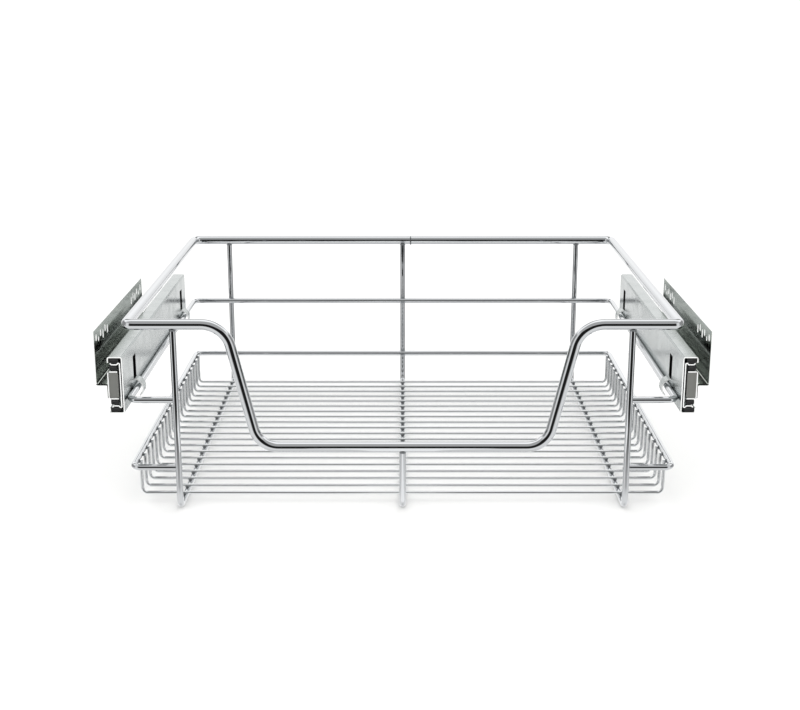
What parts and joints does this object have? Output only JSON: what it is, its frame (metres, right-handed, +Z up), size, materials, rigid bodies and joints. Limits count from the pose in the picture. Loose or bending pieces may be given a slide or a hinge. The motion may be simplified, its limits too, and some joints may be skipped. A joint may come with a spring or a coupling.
{
  "type": "pull out cabinet basket",
  "caption": "Chromed wire basket with a dipped front rail, hung on ball bearing slides with sheet brackets that screw to the cabinet walls.",
  "frame": {"origin": "bottom centre of the whole part, on the surface that the hoops stand on", "axes": "+X to the right across the cabinet, +Y to the back of the cabinet, +Z up; the basket pulls out along -Y"},
  "size_m": [0.564, 0.422, 0.1834],
  "materials": {
    "chromed_wire": "bright chrome plated wire",
    "plated_rail": "bright plated cold rolled strip",
    "plated_bracket": "polished plated sheet",
    "rivet_steel": "plated rivets",
    "black_plastic": "black moulded plastic",
    "grey_plastic": "grey moulded plastic"
  },
  "bodies": {
    "wall_side": {"wall_bracket_left": "plated_bracket", "wall_rail_left": "plated_rail", "end_block_left": "grey_plastic", "rear_stop_left": "black_plastic", "rivets_left": "rivet_steel", "wall_bracket_right": "plated_bracket", "wall_rail_right": "plated_rail", "end_block_right": "grey_plastic", "rear_stop_right": "black_plastic", "rivets_right": "rivet_steel"},
    "basket": {"top_rim": "chromed_wire", "middle_ring": "chromed_wire", "tray_ring": "chromed_wire", "hoop_left": "chromed_wire", "hoop_centre": "chromed_wire", "hoop_right": "chromed_wire", "floor_wire_01": "chromed_wire", "floor_wire_02": "chromed_wire", "floor_wire_03": "chromed_wire", "floor_wire_04": "chromed_wire", "floor_wire_05": "chromed_wire", "floor_wire_06": "chromed_wire", "floor_wire_07": "chromed_wire", "floor_wire_08": "chromed_wire", "floor_wire_09": "chromed_wire", "floor_wire_10": "chromed_wire", "floor_wire_11": "chromed_wire", "floor_wire_12": "chromed_wire", "floor_wire_13": "chromed_wire", "floor_wire_14": "chromed_wire", "floor_wire_15": "chromed_wire", "floor_wire_16": "chromed_wire", "floor_wire_17": "chromed_wire", "floor_wire_18": "chromed_wire", "floor_wire_19": "chromed_wire", "floor_wire_20": "chromed_wire", "basket_rail_left": "plated_rail", "basket_rail_right": "plated_rail"},
    "middle_left": {"middle_rail_left": "plated_rail"},
    "outer_cage_left": {"outer_cage_left": "black_plastic"},
    "inner_cage_left": {"inner_cage_left": "black_plastic"},
    "middle_right": {"middle_rail_right": "plated_rail"},
    "outer_cage_right": {"outer_cage_right": "black_plastic"},
    "inner_cage_right": {"inner_cage_right": "black_plastic"}
  },
  "joints": [
    {"name": "basket_slide", "type": "slide", "parent": "wall_side", "child": "basket", "axis": [0, -1, 0], "range_m": [0, 0.35]},
    {"name": "middle_slide_left", "type": "slide", "parent": "wall_side", "child": "middle_left", "axis": [0, -1, 0], "range_m": [0, 0.175]},
    {"name": "outer_cage_slide_left", "type": "slide", "parent": "middle_left", "child": "outer_cage_left", "axis": [0, -1, 0], "range_m": [0, 0.0875]},
    {"name": "inner_cage_slide_left", "type": "slide", "parent": "wall_side", "child": "inner_cage_left", "axis": [0, -1, 0], "range_m": [0, 0.0875]},
    {"name": "middle_slide_right", "type": "slide", "parent": "wall_side", "child": "middle_right", "axis": [0, -1, 0], "range_m": [0, 0.175]},
    {"name": "outer_cage_slide_right", "type": "slide", "parent": "middle_right", "child": "outer_cage_right", "axis": [0, -1, 0], "range_m": [0, 0.0875]},
    {"name": "inner_cage_slide_right", "type": "slide", "parent": "wall_side", "child": "inner_cage_right", "axis": [0, -1, 0], "range_m": [0, 0.0875]}
  ],
  "couplings": [
    {"joint": "middle_slide_left", "follows": "basket_slide", "ratio": 0.5},
    {"joint": "outer_cage_slide_left", "follows": "basket_slide", "ratio": 0.25},
    {"joint": "inner_cage_slide_left", "follows": "basket_slide", "ratio": 0.25},
    {"joint": "middle_slide_right", "follows": "basket_slide", "ratio": 0.5},
    {"joint": "outer_cage_slide_right", "follows": "basket_slide", "ratio": 0.25},
    {"joint": "inner_cage_slide_right", "follows": "basket_slide", "ratio": 0.25}
  ]
}
